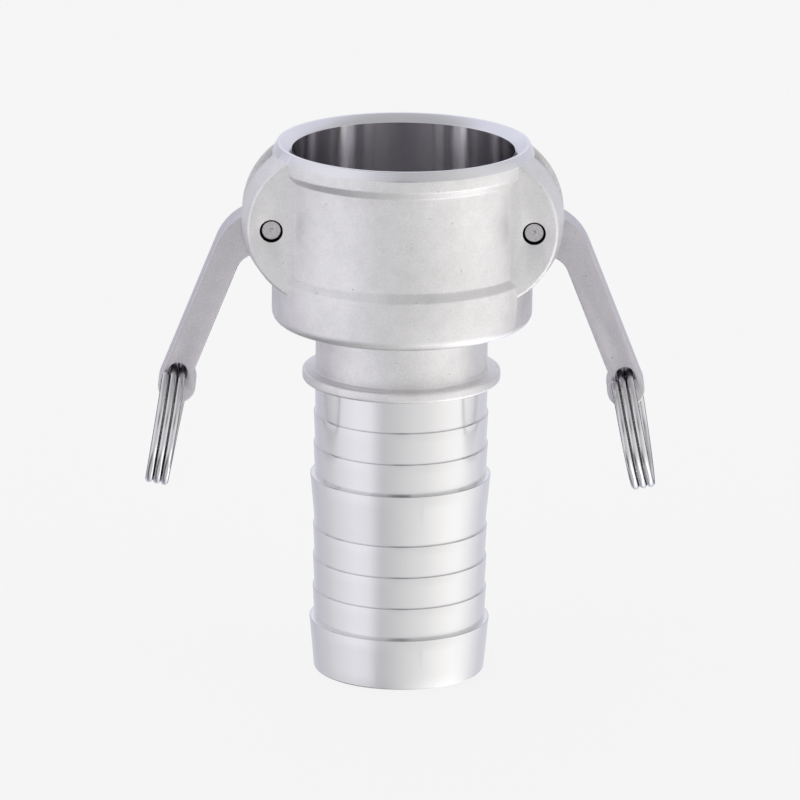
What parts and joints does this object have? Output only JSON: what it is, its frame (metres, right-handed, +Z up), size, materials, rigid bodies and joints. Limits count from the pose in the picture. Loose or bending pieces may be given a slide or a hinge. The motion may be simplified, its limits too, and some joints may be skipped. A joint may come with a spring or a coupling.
{
  "type": "cam and groove coupling",
  "caption": "Female cam and groove coupler with a barbed hose shank: cast steel bell with ears, hinged cam arms, wire pull rings and a face gasket.",
  "frame": {"origin": "on the waterway's axis, in the flat lower end of the hose shank", "axes": "+Z up the waterway to the mouth of the socket, +X to the right cam arm, the pins along Y"},
  "size_m": [0.1476, 0.075, 0.1569],
  "materials": {
    "cast_body": "bead-blasted casting",
    "cast_arm": "bead-blasted casting",
    "pin_steel": "drawn",
    "ring_wire": "polished wire",
    "gasket_rubber": "matt"
  },
  "bodies": {
    "coupler": {"coupler_body": "cast_body", "gasket": "gasket_rubber", "left_pivot_pin": "pin_steel", "right_pivot_pin": "pin_steel"},
    "left_arm": {"left_cam_arm": "cast_arm"},
    "right_arm": {"right_cam_arm": "cast_arm"},
    "left_ring": {"left_pull_ring": "ring_wire"},
    "right_ring": {"right_pull_ring": "ring_wire"}
  },
  "joints": [
    {"name": "left_arm_pivot", "type": "hinge", "parent": "coupler", "child": "left_arm", "pos_m": [-0.0374, 0, 0.1348], "axis": [0, 1, 0], "range_deg": [0, 105]},
    {"name": "right_arm_pivot", "type": "hinge", "parent": "coupler", "child": "right_arm", "pos_m": [0.0374, 0, 0.1348], "axis": [0, -1, 0], "range_deg": [0, 105]},
    {"name": "left_ring_swing", "type": "hinge", "parent": "left_arm", "child": "left_ring", "pos_m": [-0.06436, 0, 0.08947], "axis": [0, 1, 0], "range_deg": [-115, 120]},
    {"name": "right_ring_swing", "type": "hinge", "parent": "right_arm", "child": "right_ring", "pos_m": [0.06436, 0, 0.08947], "axis": [0, -1, 0], "range_deg": [-115, 120]}
  ]
}
